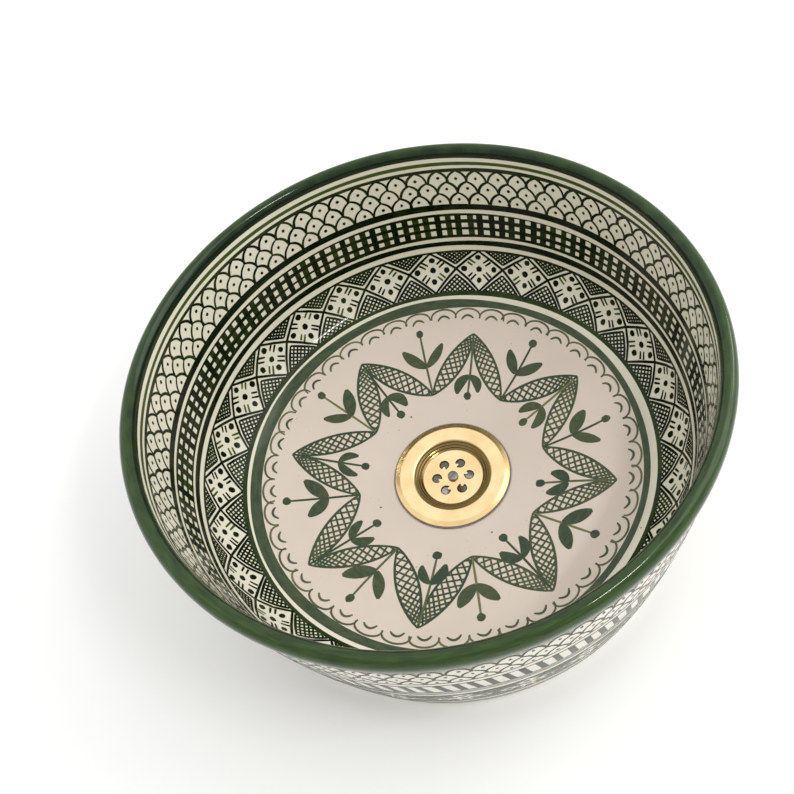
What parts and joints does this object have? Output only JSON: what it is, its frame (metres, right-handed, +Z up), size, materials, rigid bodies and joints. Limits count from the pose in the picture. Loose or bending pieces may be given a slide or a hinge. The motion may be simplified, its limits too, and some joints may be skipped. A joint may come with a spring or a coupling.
{
  "type": "ceramic wash basin with grid waste",
  "caption": "Round hand-painted glazed ceramic countertop wash basin with a dished brass grid waste held by a centre screw.",
  "frame": {"origin": "centre of the plane that the foot ring stands on; the waste body's tail hangs below it, through the counter", "axes": "+Z up along the basin's axis of symmetry, out of the bowl"},
  "size_m": [0.402, 0.402, 0.2265],
  "materials": {
    "painted_glaze": "glossy cream glaze painted in dark green",
    "polished_brass": "polished",
    "screw_steel": "satin",
    "foam_gasket": "matt soft ring",
    "rubber_gasket": "matt",
    "waste_plastic": "moulded",
    "insert_brass": "machined"
  },
  "bodies": {
    "root": {"basin": "painted_glaze", "strainer_flange": "polished_brass", "centre_screw": "screw_steel", "flange_gasket": "foam_gasket", "lower_gasket": "rubber_gasket", "waste_body": "waste_plastic", "screw_insert": "insert_brass"}
  },
  "joints": []
}
